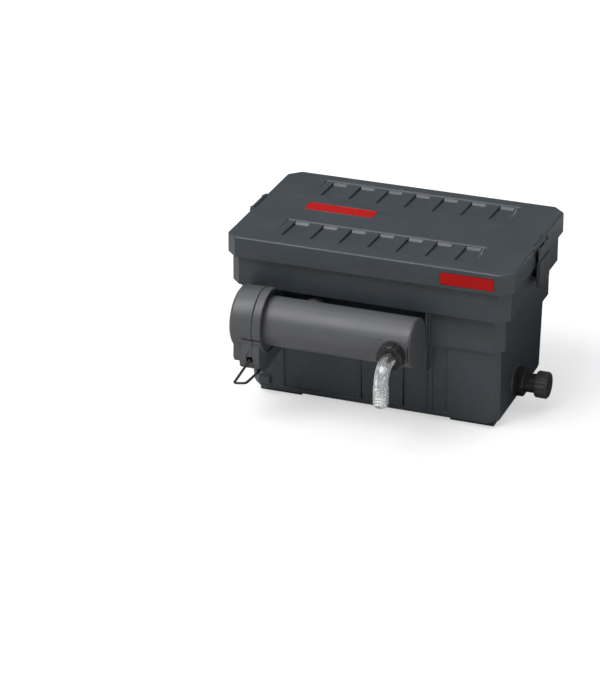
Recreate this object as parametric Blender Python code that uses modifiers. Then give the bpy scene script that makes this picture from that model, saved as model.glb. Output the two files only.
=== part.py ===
"""Pond filter box with a clip-on lid and a UV clarifier tube along its front.

Metres, +Z up. The origin is the middle of the tub's underside, on the surface it stands on.
+X runs along the tub to the drain end and -Y is the front, where the clarifier hangs.
"""
import math

import bmesh
import bpy
from mathutils import Matrix, Vector

# ---- driving dimensions -------------------------------------------------------------------
GAP = 0.0003                    # clearance between neighbouring pieces
SEGMENTS = 32                   # facets round a large turned piece
FINE_SEGMENTS = 20              # facets round a small one

HEIGHT = 0.280                  # top of the lid
LID_HALF = (0.2380, 0.1506)     # half length and half width of the lid's skirt
LID_CORNER = 0.0185
SKIRT_BOTTOM = 0.2452
SKIRT_WALL = 0.0025
LID_PLATE = 0.0030

RIM_TOP = 0.2725
TIER_HALF = (0.2316, 0.1436)    # upper tier of the tub, inside the lid's skirt
TIER_BOTTOM = 0.1960
BAND_HALF = (0.2210, 0.1330)    # lower band of the tub
BAND_BOTTOM = 0.1382
BODY_TOP_HALF = (0.2144, 0.1273)
BODY_FOOT_HALF = (0.2078, 0.1220)
BODY_TOP_X = -0.0009            # the body is drafted more at its left end than at the drain end
BODY_FOOT_X = 0.0046
BODY_FLOOR = 0.0095             # inside floor
TIER_CORNER = 0.0158
BAND_CORNER = 0.0148
BODY_CORNER = (0.0150, 0.0130)  # at the foot and at the band
FOOT_ROUND = 0.0110             # roundover of the body's lower edge
UNDERSIDE = 0.0055
WALL = 0.0035
FRONT_WALL = 0.0058             # thicker, because the front face carries relief
NICHE_FACE_Y = -0.1276          # front face of the niche that takes the clarifier
NICHE_END_X = 0.0975
BRACKET_SCREW_X = -0.1528
BRACKET_SCREW_Z = (0.1220, 0.1830)

ROW_BACKS = (-0.0505, 0.1270)   # back edges of the lid's two rows of recesses
ROW_DEPTH = 0.0660              # a row's extent from back to front
ROW_SINK = 0.0018               # how deep a row lies, and its recesses
RECESS_SINK = 0.0062
FRONT_SINK = 0.0026
RECESS_WIDTH = 0.0250
RECESS_PITCH = 0.0478
RECESS_FIRST = -0.1535
BACK_SLOPE = 0.9                # run of a recess's back wall for each unit of depth
TOP_LABEL = ((-0.158, -0.002), (-0.043, 0.027))
FRONT_LABEL = ((0.1225, 0.2515), (0.2090, 0.2715))

LATCH_Y = 0.0030                # middle of each clip
LATCH_HALF = 0.0270
LATCH_PIVOT = (0.2376, 0.2785)  # x and z of the clip's hinge pin
LATCH_BAR_R = 0.0033
LATCH_PIN_R = 0.0013

TUBE_Y = -0.1840                # axis of the clarifier
TUBE_Z = 0.1613
TUBE_R = 0.0397
TUBE_BORE_R = 0.0367
TUBE_END_X = 0.0978
SEAM_X = -0.1586                # where head and collar meet
COLLAR_RIGHT_X = -0.1440
COLLAR_R = 0.0525
COLLAR_POCKET_X = -0.1505       # the ring is open round the tube from here to its right end
HEAD_R = 0.0522
HEAD_LEFT_X = -0.1985
SEAM_CHAMFER = 0.0011

BRANCH_X = 0.0730               # axis of the hose connection
BRANCH_Z = 0.1568
SPIGOT_R = 0.0165
NUT_R = 0.0218
HOSE_TAIL_R = 0.0112

OUTLET_X = -0.0900              # water passes from the tube into the tub here
OUTLET_Z = 0.1693
OVERFLOW_X = 0.1500             # gravity outlet at the back
OVERFLOW_Z = 0.1600
DRAIN_Y = -0.0240
DRAIN_Z = 0.0450
DRAIN_FACE_X = 0.2146           # outer face of the drain's boss on the tub
DRAIN_HEX_X = 0.2171
DRAIN_CAP_X = 0.2475
DRAIN_CAP_END_X = 0.2680

INLET_PARTITION_X = -0.0640
OUTLET_PARTITION_X = 0.1100
FOAM_FIRST_X = -0.0600
FOAM_THICKNESS = 0.0540
FOAM_PITCH = 0.0555

BAIL_PIVOT = (-0.1630, 0.1095)
BAIL_Y = -0.2332
BAIL_R = 0.0021

CHARCOAL = (0.060, 0.068, 0.074)
DARK = (0.035, 0.038, 0.041)
TUBE_GREY = (0.085, 0.086, 0.088)
BLACK = (0.012, 0.012, 0.013)
RED = (0.62, 0.035, 0.020)

collections = {}
materials = {}


# ---- helpers ------------------------------------------------------------------------------
def start_scene():
    """Empty the scene and make one collection for the parts and one for the cutters."""
    for thing in list(bpy.data.objects):
        bpy.data.objects.remove(thing, do_unlink=True)
    for label in ("pond_filter_box", "cutters"):
        collections[label] = bpy.data.collections.new(label)
        bpy.context.scene.collection.children.link(collections[label])


def material(label, colour, roughness, metallic=0.0, transmission=0.0):
    """A Principled material, made once for each label."""
    if label not in materials:
        made = bpy.data.materials.new(label)
        made.use_nodes = True
        shader = made.node_tree.nodes["Principled BSDF"]
        shader.inputs["Base Color"].default_value = (*colour, 1.0)
        shader.inputs["Roughness"].default_value = roughness
        shader.inputs["Metallic"].default_value = metallic
        shader.inputs["Transmission Weight"].default_value = transmission
        materials[label] = made
    return materials[label]


def add_object(name, mesh, finish):
    """Link a mesh as a part, or as a cutter where it has no finish."""
    thing = bpy.data.objects.new(name, mesh)
    if finish is None:
        collections["cutters"].objects.link(thing)
        thing.hide_render = True
        thing.display_type = "WIRE"
    else:
        collections["pond_filter_box"].objects.link(thing)
        mesh.materials.append(finish)
    return thing


def from_bmesh(name, shape, finish, smooth=False):
    """Turn a bmesh into an object with its faces pointing out."""
    bmesh.ops.recalc_face_normals(shape, faces=shape.faces)
    mesh = bpy.data.meshes.new(name)
    shape.to_mesh(mesh)
    shape.free()
    if smooth:
        mesh.shade_smooth()
        mesh.set_sharp_from_angle(angle=math.radians(35))
    return add_object(name, mesh, finish)


def box(name, low, high, finish=None, bevel=0.0):
    """A box between two corners."""
    low, high = Vector(low), Vector(high)
    shape = bmesh.new()
    size = Matrix.Diagonal((high - low).to_4d())
    bmesh.ops.create_cube(shape, size=1.0, matrix=Matrix.Translation((low + high) / 2) @ size)
    thing = from_bmesh(name, shape, finish)
    if bevel:
        edge = thing.modifiers.new("edges", "BEVEL")
        edge.width = bevel
        edge.segments = 2
    return thing


def loft(name, rings, finish=None, hollow=False, smooth=False):
    """Join rings of points into a solid; a hollow one closes on its first ring."""
    shape = bmesh.new()
    loops = [[shape.verts.new(point) for point in ring] for ring in rings]
    count = len(loops[0])
    pairs = list(zip(loops, loops[1:]))
    if hollow:
        pairs.append((loops[-1], loops[0]))
    for lower, upper in pairs:
        for index in range(count):
            after = (index + 1) % count
            shape.faces.new((lower[index], lower[after], upper[after], upper[index]))
    if not hollow:
        shape.faces.new(reversed(loops[0]))
        shape.faces.new(loops[-1])
    return from_bmesh(name, shape, finish, smooth)


def plan(half_x, half_y, corner, z, steps=1):
    """A rectangle seen from above with cut corners, or rounded ones where steps is over 1."""
    points = []
    for quarter in range(4):
        middle = math.pi / 4 + quarter * math.pi / 2
        centre_x = math.copysign(half_x - corner, math.cos(middle))
        centre_y = math.copysign(half_y - corner, math.sin(middle))
        for step in range(steps + 1):
            angle = quarter * math.pi / 2 + step / steps * math.pi / 2
            points.append((centre_x + corner * math.cos(angle),
                           centre_y + corner * math.sin(angle), z))
    return points


def direction(axis):
    """Rotation that turns local +Z to the named world axis."""
    turn = {"+X": ("Y", 90), "-X": ("Y", -90), "+Y": ("X", -90), "-Y": ("X", 90),
            "+Z": ("X", 0), "-Z": ("X", 180)}[axis]
    return Matrix.Rotation(math.radians(turn[1]), 4, turn[0])


def place(thing, origin, axis, spin=0.0):
    """Stand a piece made round local Z on its origin, along an axis, turned about it by spin."""
    thing.matrix_world = (Matrix.Translation(origin) @ direction(axis)
                          @ Matrix.Rotation(spin, 4, "Z"))
    return thing


def turned(name, profile, origin, axis, finish=None, closed=True, steps=SEGMENTS, spin=0.0):
    """A turned solid: profile pairs are radius and distance along the axis, outer side first."""
    mesh = bpy.data.meshes.new(name)
    points = [(radius, 0.0, along) for radius, along in profile]
    edges = [(index, index + 1) for index in range(len(points) - 1)]
    if closed:
        edges.append((len(points) - 1, 0))
    mesh.from_pydata(points, edges, [])
    thing = add_object(name, mesh, finish)
    screw = thing.modifiers.new("turn", "SCREW")
    screw.steps = steps
    screw.render_steps = steps
    screw.use_merge_vertices = True
    screw.merge_threshold = 0.00001
    return place(thing, origin, axis, spin)


def pipe(name, outer, bore, start, end, origin, axis, finish=None, steps=SEGMENTS):
    """A plain ring or tube from start to end along its axis."""
    profile = [(outer, end), (outer, start), (bore, start), (bore, end)]
    return turned(name, profile, origin, axis, finish, steps=steps)


def rod(name, radius, start, end, origin, axis, finish=None, steps=SEGMENTS):
    """A plain cylinder from start to end along its axis, with its facets off the neighbours'."""
    profile = [(0, end), (radius, end), (radius, start), (0, start)]
    spin = 0.0 if finish else 0.043
    return turned(name, profile, origin, axis, finish, closed=False, steps=steps, spin=spin)


def ribbed_circle(radius, height, ribs, depth):
    """A circle whose outline rises and falls by depth, ribs times round."""
    points = []
    for index in range(ribs * 4):
        low = index % 4 in (2, 3)
        reach = radius - (depth if low else 0.0)
        angle = (index + (0.3 if index % 2 else 0.0)) / (ribs * 4) * math.tau
        points.append((reach * math.cos(angle), reach * math.sin(angle), height))
    return points


def hexagon_ring(across, height, segments):
    """A hexagon with rounded corners, as points at equal angles."""
    points = []
    for index in range(segments):
        angle = index / segments * math.tau
        folded = (angle + math.pi / 6) % (math.pi / 3) - math.pi / 6
        reach = min(across / 2 / math.cos(folded), across / 2 * 1.11)
        points.append((reach * math.cos(angle), reach * math.sin(angle), height))
    return points


def circle(radius, height, segments):
    """A plain circle as points."""
    return [(radius * math.cos(index / segments * math.tau),
             radius * math.sin(index / segments * math.tau), height) for index in range(segments)]


def sweep(name, centres, radii, finish=None, segments=FINE_SEGMENTS):
    """A round solid along a path in the YZ plane, with a radius at each point."""
    rings = []
    for index, (centre, radius) in enumerate(zip(centres, radii)):
        before = Vector(centres[max(index - 1, 0)])
        after = Vector(centres[min(index + 1, len(centres) - 1)])
        along = (after - before).normalized()
        side = Vector((1, 0, 0))
        other = along.cross(side)
        rings.append([Vector(centre) + radius * (math.cos(turn) * side + math.sin(turn) * other)
                      for turn in (step / segments * math.tau for step in range(segments))])
    return loft(name, rings, finish, smooth=True)


def outline_solid(name, outline, start, end, plane, finish=None):
    """A flat outline pushed from start to end; plane 'YZ' runs along X and 'XZ' along Y."""
    def point(pair, depth):
        return (depth, *pair) if plane == "YZ" else (pair[0], depth, pair[1])
    return loft(name, [[point(pair, depth) for pair in outline] for depth in (start, end)], finish)


def boolean(target, tool, operation):
    """Cut or join with the EXACT solver."""
    step = target.modifiers.new(tool.name, "BOOLEAN")
    step.operation = operation
    step.solver = "EXACT"
    step.object = tool


def cut(target, *tools):
    for tool in tools:
        boolean(target, tool, "DIFFERENCE")


def join(target, *tools):
    for tool in tools:
        boolean(target, tool, "UNION")


def pivot(name, origin, *pieces):
    """An empty on a joint's axis that carries the pieces of a moving body."""
    empty = bpy.data.objects.new(name, None)
    empty.location = origin
    collections["pond_filter_box"].objects.link(empty)
    for piece in pieces:
        piece.parent = empty
        piece.matrix_parent_inverse = Matrix.Translation(-Vector(origin))
    return empty


def body_half(z, inset_x=0.0, inset_y=0.0):
    """Half length and half width of the tub's drafted body at a height."""
    share = (z - UNDERSIDE) / (BAND_BOTTOM - UNDERSIDE)
    half_x = BODY_FOOT_HALF[0] + share * (BODY_TOP_HALF[0] - BODY_FOOT_HALF[0])
    half_y = BODY_FOOT_HALF[1] + share * (BODY_TOP_HALF[1] - BODY_FOOT_HALF[1])
    return half_x - inset_x, half_y - inset_y


def body_plan(z, corner, inset_x=0.0, inset_y=0.0, steps=1):
    """A level outline of the drafted body, whose middle drifts along X with height."""
    share = (min(z, BAND_BOTTOM) - UNDERSIDE) / (BAND_BOTTOM - UNDERSIDE)
    middle = BODY_FOOT_X + share * (BODY_TOP_X - BODY_FOOT_X)
    half = body_half(min(z, BAND_BOTTOM), inset_x, inset_y)
    return [(x + middle, y, z) for x, y, _ in plan(*half, corner, z, steps)]


# ---- tub ----------------------------------------------------------------------------------
def front_relief(container):
    """Shallow fields between the raised panels of the front face."""
    depth = 0.0025
    fields = ((-0.147, -0.015, 0.018, 0.190), (0.056, 0.0965, 0.018, 0.190),
              (-0.0146, 0.0556, 0.014, 0.028), (0.104, 0.129, 0.018, 0.1320))
    for index, (left, right, low, high) in enumerate(fields):
        rings = []
        for z in (low, high):
            face = min(body_half(z)[1], -NICHE_FACE_Y)
            rings.append([(left, -0.150, z), (right, -0.150, z),
                          (right, depth - face, z), (left, depth - face, z)])
        cut(container, loft(f"front_field_{index}", rings))


def make_container(finish):
    """The stepped tub with its feet, clarifier niche, bosses and holes."""
    rings = []
    for turn in (0.0, 30.0, 60.0, 90.0):
        inset = FOOT_ROUND * (1 - math.sin(math.radians(turn)))
        z = UNDERSIDE + FOOT_ROUND * (1 - math.cos(math.radians(turn)))
        rings.append(body_plan(z, BODY_CORNER[0], inset, inset))
    rings += [body_plan(BAND_BOTTOM, BODY_CORNER[1]),
              plan(*BAND_HALF, BAND_CORNER, BAND_BOTTOM),
              plan(*BAND_HALF, BAND_CORNER, TIER_BOTTOM),
              plan(*TIER_HALF, TIER_CORNER, TIER_BOTTOM),
              plan(*TIER_HALF, TIER_CORNER, RIM_TOP)]
    container = loft("container", rings, finish)

    niche = box("niche", (-0.260, -0.160, BAND_BOTTOM - 0.004),
                (NICHE_END_X, NICHE_FACE_Y, TIER_BOTTOM - 0.0004))
    cut(container, niche)
    front_relief(container)

    front = 0.0003 - TIER_HALF[1]
    rib_outline = [(-0.1262, TIER_BOTTOM + 0.002), (front, TIER_BOTTOM + 0.002), (front, 0.104),
                   (-0.1405, 0.096), (-0.1350, 0.0915), (-0.1242, 0.0890)]
    join(container, outline_solid("end_rib", rib_outline, NICHE_END_X - 0.0006,
                                  NICHE_END_X + 0.0024, "YZ"))

    foot_top = UNDERSIDE + 0.005
    for index, (left, right) in enumerate(((-0.193, -0.122), (-0.030, 0.030), (0.130, 0.203))):
        reach = 0.030 if index == 1 else 0.109
        join(container, box(f"foot_{index}", (left, -reach, 0), (right, reach, foot_top)))

    half = (TIER_HALF[0] - 0.003, TIER_HALF[1] - 0.003)
    shelf = TIER_BOTTOM + 0.003
    inner_corner = BODY_CORNER[1] - 0.002
    hollow = [body_plan(BODY_FLOOR, inner_corner, 0.0115, 0.0115),
              body_plan(UNDERSIDE + FOOT_ROUND, inner_corner, WALL, FRONT_WALL),
              body_plan(BAND_BOTTOM, inner_corner, WALL, FRONT_WALL),
              body_plan(shelf, inner_corner, WALL, FRONT_WALL),
              plan(*half, TIER_CORNER - 0.0015, shelf),
              plan(*half, TIER_CORNER - 0.0015, RIM_TOP + 0.01)]
    drain = (0, DRAIN_Y, DRAIN_Z)
    overflow = (OVERFLOW_X, 0, OVERFLOW_Z)
    join(container, rod("drain_boss", 0.0270, 0.200, DRAIN_FACE_X, drain, "+X"),
         rod("overflow_boss", 0.0350, 0.118, 0.1350, overflow, "+Y"))
    cut(container, loft("hollow", hollow))
    join(container, rod("drain_inner_boss", 0.0230, 0.2020, 0.2105, drain, "+X"))
    cut(container, rod("drain_hole", 0.0165, 0.180, 0.240, drain, "+X"),
        rod("overflow_hole", 0.0253, 0.100, 0.160, overflow, "+Y", steps=30),
        rod("outlet_hole", 0.0138, 0.100, 0.160, (OUTLET_X, 0, OUTLET_Z), "-Y"))
    for z in BRACKET_SCREW_Z:
        cut(container, rod(f"bracket_hole_{z}", 0.0021, 0.100, 0.160,
                           (BRACKET_SCREW_X, 0, z), "-Y", steps=12))

    for side in (-1, 1):
        ends = sorted((side * (TIER_HALF[0] - 0.001), side * 0.2345))
        join(container, box(f"catch_{side}", (ends[0], LATCH_Y - 0.018, 0.2220),
                            (ends[1], LATCH_Y + 0.018, 0.2260)))
    join(container, box("lug", (-0.1886, -0.1290, 0.0205), (-0.1700, -0.1200, 0.0315)))
    return container


def make_inside(dark, foam_colours, net):
    """Partitions, slotted floor, foams and the basket."""
    pieces = []
    floor = BODY_FLOOR + 0.0005
    for name, x, high in (("inlet_partition", INLET_PARTITION_X, 0.1850),
                          ("outlet_partition", OUTLET_PARTITION_X, 0.1650)):
        rings = []
        for z in (floor, UNDERSIDE + FOOT_ROUND, high):
            edge = 0.0115 if z == floor else FRONT_WALL
            reach = body_half(min(z, BAND_BOTTOM), 0, edge)[1] - 0.001
            rings.append([(x - 0.0015, -reach, z), (x + 0.0015, -reach, z),
                          (x + 0.0015, reach, z), (x - 0.0015, reach, z)])
        plate = loft(name, rings, dark)
        window = (0.040, 0.056) if x < 0 else (0.130, 0.150)
        for index in range(4):
            middle = (index - 1.5) * 0.050
            cut(plate, box(f"{name}_window_{index}", (x - 0.01, middle - 0.019, window[0]),
                           (x + 0.01, middle + 0.019, window[1])))
        pieces.append(plate)

    grid_top = 0.0220
    grid = box("support_grid", (INLET_PARTITION_X + 0.003, -0.1070, floor),
               (OUTLET_PARTITION_X - 0.003, 0.1070, grid_top), dark)
    for index in range(7):
        x = INLET_PARTITION_X + 0.0140 + index * 0.0225
        cut(grid, box(f"grid_slot_{index}", (x, -0.098, 0.005), (x + 0.0130, 0.098, 0.030)))
    pieces.append(grid)

    for index, (label, colour) in enumerate(zip(("coarse", "medium", "fine"), foam_colours)):
        x = FOAM_FIRST_X + index * FOAM_PITCH
        finish = material(f"foam_{label}", colour, 0.95)
        pieces.append(box(f"foam_{label}", (x, -0.1080, grid_top + 0.001),
                          (x + FOAM_THICKNESS, 0.1080, 0.1800), finish))

    basket = box("media_basket", (0.1150, -0.1000, 0.0105), (0.1790, 0.1000, 0.1150), dark)
    cut(basket, box("basket_hollow", (0.1170, -0.0980, 0.0125), (0.1770, 0.0980, 0.1300)))
    for index in range(5):
        middle = (index - 2) * 0.036
        cut(basket, box(f"basket_side_{index}", (0.100, middle - 0.014, 0.030),
                        (0.200, middle + 0.014, 0.095)))
    pieces.append(basket)
    pieces.append(box("media_bag", (0.1190, -0.0950, 0.0135), (0.1750, 0.0950, 0.0980), net))
    return pieces


# ---- lid ----------------------------------------------------------------------------------
def wedge(name, left, right, back, length, depth, front_depth=0.0):
    """A cutter with a sloped back, and a floor that rises towards the front of the lid."""
    above = HEIGHT + 0.004
    front = back - length
    outline = [(back, above), (back, HEIGHT), (back - depth * BACK_SLOPE, HEIGHT - depth),
               (front, HEIGHT - front_depth), (front, above)]
    return outline_solid(name, outline, left, right, "YZ")


def make_lid(finish):
    """The lid's shell with its two rows of wedge recesses and the clips' notches."""
    rings = [plan(*LID_HALF, LID_CORNER, SKIRT_BOTTOM),
             plan(*LID_HALF, LID_CORNER, HEIGHT - 0.0036)]
    for share in (0.5, 1.0):
        inset = 0.0036 * (1 - math.cos(share * math.pi / 2))
        rings.append(plan(LID_HALF[0] - inset, LID_HALF[1] - inset, LID_CORNER - inset * 0.4,
                          HEIGHT - 0.0036 + 0.0036 * math.sin(share * math.pi / 2)))
    lid = loft("lid", rings, finish)

    inner = (LID_HALF[0] - SKIRT_WALL, LID_HALF[1] - SKIRT_WALL)
    underside = HEIGHT - LID_PLATE
    cut(lid, loft("lid_hollow", [plan(*inner, LID_CORNER - 0.001, SKIRT_BOTTOM - 0.01),
                                 plan(*inner, LID_CORNER - 0.001, underside)]))
    for row, back in enumerate(ROW_BACKS):
        front = back - ROW_DEPTH - 0.002
        pan = [(back + 0.004, underside + 0.001), (back + 0.004, HEIGHT - 0.0080),
               (back - 0.004, HEIGHT - 0.0080), (front, HEIGHT - FRONT_SINK - 0.0024),
               (front, underside + 0.001)]
        join(lid, outline_solid(f"row_pan_{row}", pan, -0.171, 0.171, "YZ"))
        cut(lid, wedge(f"row_field_{row}", -0.1665, 0.1665, back, ROW_DEPTH * 0.94, ROW_SINK))
        for index in range(7):
            left = RECESS_FIRST + index * RECESS_PITCH
            cut(lid, wedge(f"recess_{row}_{index}", left, left + RECESS_WIDTH, back - 0.0004,
                           ROW_DEPTH, RECESS_SINK, FRONT_SINK))

    cut(lid, rod("gate_mark", 0.0022, HEIGHT - 0.0006, HEIGHT + 0.01, (-0.0061, 0.0143, 0), "+Z",
                 steps=12))
    for side in (-1, 1):
        notch_ends = sorted((side * 0.2338, side * 0.260))
        notch = box(f"notch_{side}", (notch_ends[0], LATCH_Y - LATCH_HALF - 0.0010, 0.2735),
                    (notch_ends[1], LATCH_Y + LATCH_HALF + 0.0010, HEIGHT + 0.01))
        for end in (-1, 1):
            near = LATCH_Y + end * (LATCH_HALF + 0.0005)
            far = LATCH_Y + end * (LATCH_HALF + 0.0048)
            lug_x = sorted((side * 0.2340, side * 0.2402))
            lug_y = sorted((near, far))
            join(lid, box(f"pin_lug_{side}_{end}", (lug_x[0], lug_y[0], 0.2737),
                          (lug_x[1], lug_y[1], 0.2808)))
        cut(lid, notch)
        cut(lid, rod(f"pin_bore_{side}", LATCH_PIN_R + GAP, LATCH_Y - LATCH_HALF - 0.0040,
                     LATCH_Y + LATCH_HALF + 0.0040, (side * LATCH_PIVOT[0], 0, LATCH_PIVOT[1]),
                     "+Y", steps=12))
    low, high = TOP_LABEL
    cut(lid, box("top_label_seat", (low[0] - GAP, low[1] - GAP, HEIGHT - 0.0008),
                 (high[0] + GAP, high[1] + GAP, HEIGHT + 0.01)))
    low, high = FRONT_LABEL
    cut(lid, box("front_label_seat", (low[0] - GAP, -0.170, low[1] - GAP),
                 (high[0] + GAP, -LID_HALF[1] + 0.0008, high[1] + GAP)))
    return lid


def make_lid_details(red, seal):
    """The seal under the lid and the two plain colour marks let into it."""
    top_z = HEIGHT - LID_PLATE - GAP
    bottom_z = RIM_TOP + GAP
    outer = (TIER_HALF[0] + 0.0004, TIER_HALF[1] + 0.0004)
    inner = (TIER_HALF[0] - 0.0045, TIER_HALF[1] - 0.0045)
    ring = [plan(*outer, TIER_CORNER, top_z), plan(*outer, TIER_CORNER, bottom_z),
            plan(*inner, 0.0130, bottom_z), plan(*inner, 0.0130, top_z)]
    low, high = TOP_LABEL
    top = box("top_label", (*low, HEIGHT - 0.0005), (*high, HEIGHT), red)
    low, high = FRONT_LABEL
    front = box("front_label", (low[0], -LID_HALF[1], low[1]),
                (high[0], -LID_HALF[1] + 0.0005, high[1]), red)
    return [loft("lid_seal", ring, seal, hollow=True), top, front]


def make_latch(side, finish, pin_finish):
    """One clip: hinge bar, two cheeks, outer plate, hollow grip and its tooth."""
    name = "right" if side > 0 else "left"
    low_y, high_y = LATCH_Y - LATCH_HALF, LATCH_Y + LATCH_HALF
    pivot_x, pivot_z = LATCH_PIVOT

    def slab(label, near, far, bottom, top, y_low=low_y, y_high=high_y, colour=None, bevel=0.0):
        ends = sorted((side * near, side * far))
        return box(label, (ends[0], y_low, bottom), (ends[1], y_high, top), colour, bevel)

    latch = slab(f"latch_{name}", 0.2400, 0.2462, 0.2120, 0.2545, colour=finish)
    cut(latch, slab(f"{name}_grip_hollow", 0.2390, 0.2443, 0.2230, 0.2520,
                    low_y + 0.0025, high_y - 0.0025))
    join(latch, slab(f"{name}_plate", 0.2418, 0.2440, 0.2520, 0.2752))
    join(latch, slab(f"{name}_tooth", 0.2348, 0.2402, 0.2165, 0.2217,
                     LATCH_Y - 0.015, LATCH_Y + 0.015))
    for end in (-1, 1):
        cheek_y = sorted((LATCH_Y + end * LATCH_HALF, LATCH_Y + end * (LATCH_HALF - 0.0026)))
        join(latch, slab(f"{name}_cheek_{end}", pivot_x, 0.2430, 0.2742, pivot_z + 0.0015,
                         cheek_y[0], cheek_y[1]))
    bar_origin = (side * pivot_x, 0, pivot_z)
    join(latch, rod(f"{name}_bar", LATCH_BAR_R, low_y, high_y, bar_origin, "+Y",
                    steps=FINE_SEGMENTS))
    cut(latch, rod(f"{name}_bar_bore", LATCH_PIN_R + GAP, low_y - 0.01, high_y + 0.01,
                   bar_origin, "+Y", steps=12))
    pin = rod(f"latch_pin_{name}", LATCH_PIN_R, low_y - 0.0036, high_y + 0.0036, bar_origin,
              "+Y", pin_finish, steps=12)
    return latch, pin


# ---- clarifier ----------------------------------------------------------------------------
def tube_point(x=0.0):
    return (x, TUBE_Y, TUBE_Z)


def outlet_point():
    """Where the axis of the passage into the tub crosses the tube's middle plane."""
    return (OUTLET_X, TUBE_Y, OUTLET_Z)


def make_housing(finish, dark):
    """The tube with its side branch and rear boss, and the disc that closes its right end."""
    end = TUBE_END_X - 0.0030
    housing = rod("uv_housing", TUBE_R, SEAM_X + 0.0003, end, tube_point(), "+X", finish)
    branch = (BRANCH_X, TUBE_Y, BRANCH_Z)
    join(housing, rod("branch_saddle", 0.0250, 0.015, 0.0445, branch, "-Y"),
         rod("branch_spigot", SPIGOT_R, 0.020, 0.0558, branch, "-Y", steps=FINE_SEGMENTS),
         rod("rear_boss", 0.0178, 0.015, 0.0515, outlet_point(), "+Y", steps=FINE_SEGMENTS))
    cut(housing, box("end_trim", (end, -0.260, 0.080), (end + 0.030, -0.120, 0.240)),
        rod("tube_bore", TUBE_BORE_R, -0.30, 0.20, tube_point(), "+X"),
        rod("branch_bore", 0.0122, 0.0, 0.080, branch, "-Y", steps=FINE_SEGMENTS),
        rod("rear_bore", 0.0138, 0.010, 0.080, outlet_point(), "+Y", steps=22))

    profile = [(0, TUBE_END_X), (TUBE_R - 0.001, TUBE_END_X), (TUBE_R, TUBE_END_X - 0.001),
               (TUBE_R, end + GAP), (TUBE_BORE_R - GAP, end + GAP),
               (TUBE_BORE_R - GAP, end - 0.008), (0, end - 0.008)]
    cap = turned("uv_end_cap", profile, tube_point(), "+X", dark, closed=False)
    return housing, cap


def make_collar(finish):
    """The clamping ring with the bracket plate that reaches down to the tub."""
    profile = [(COLLAR_R - SEAM_CHAMFER, COLLAR_RIGHT_X), (COLLAR_R, COLLAR_RIGHT_X - SEAM_CHAMFER),
               (COLLAR_R, SEAM_X + SEAM_CHAMFER), (COLLAR_R - SEAM_CHAMFER, SEAM_X),
               (TUBE_R + GAP, SEAM_X), (TUBE_R + GAP, COLLAR_POCKET_X),
               (COLLAR_R - 0.0034, COLLAR_POCKET_X), (COLLAR_R - 0.0034, COLLAR_RIGHT_X)]
    collar = turned("uv_collar", profile, tube_point(), "+X", finish)
    front = [(-0.2260, 0.1440), (-0.2310, 0.1330), (-0.2330, 0.1200), (-0.2310, 0.1050),
             (-0.2240, 0.0900), (-0.2110, 0.0795)]
    back = [(-0.1262, 0.0905), (-0.1279, BAND_BOTTOM), (-0.1279, 0.1900), (-0.1900, 0.1900)]
    plate = outline_solid("bracket_plate", front + back, SEAM_X, SEAM_X + 0.0115, "YZ")
    join(collar, plate)
    cut(collar, rod("collar_bore", TUBE_R + GAP, -0.30, -0.10, tube_point(), "+X"),
        box("collar_ledge_groove", (SEAM_X - 0.001, -0.245, 0.1438),
            (COLLAR_RIGHT_X + 0.001, -0.2300, 0.1462)))
    cut(collar, box("bail_keeper", (SEAM_X - 0.001, -0.240, 0.070), (-0.1476, -0.2200, 0.0935)))
    for z in BRACKET_SCREW_Z:
        cut(collar, rod(f"plate_hole_{z}", 0.0021, 0.120, 0.1405, (BRACKET_SCREW_X, 0, z), "-Y",
                        steps=12))
    return collar


def make_bracket_screws(steel):
    """Two screws from inside the tub into the bracket plate's edge."""
    screws = []
    for name, z in zip(("lower", "upper"), BRACKET_SCREW_Z):
        inner = body_half(min(z, BAND_BOTTOM), 0, FRONT_WALL)[1]
        head = inner - 0.0010
        profile = [(0, 0.1395), (0.0018, 0.1395), (0.0018, head), (0.0042, head),
                   (0.0034, head - 0.0026), (0, head - 0.0030)]
        screws.append(turned(f"bracket_screw_{name}", profile, (BRACKET_SCREW_X, 0, z), "-Y",
                             steel, closed=False, steps=12))
    return screws


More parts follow.
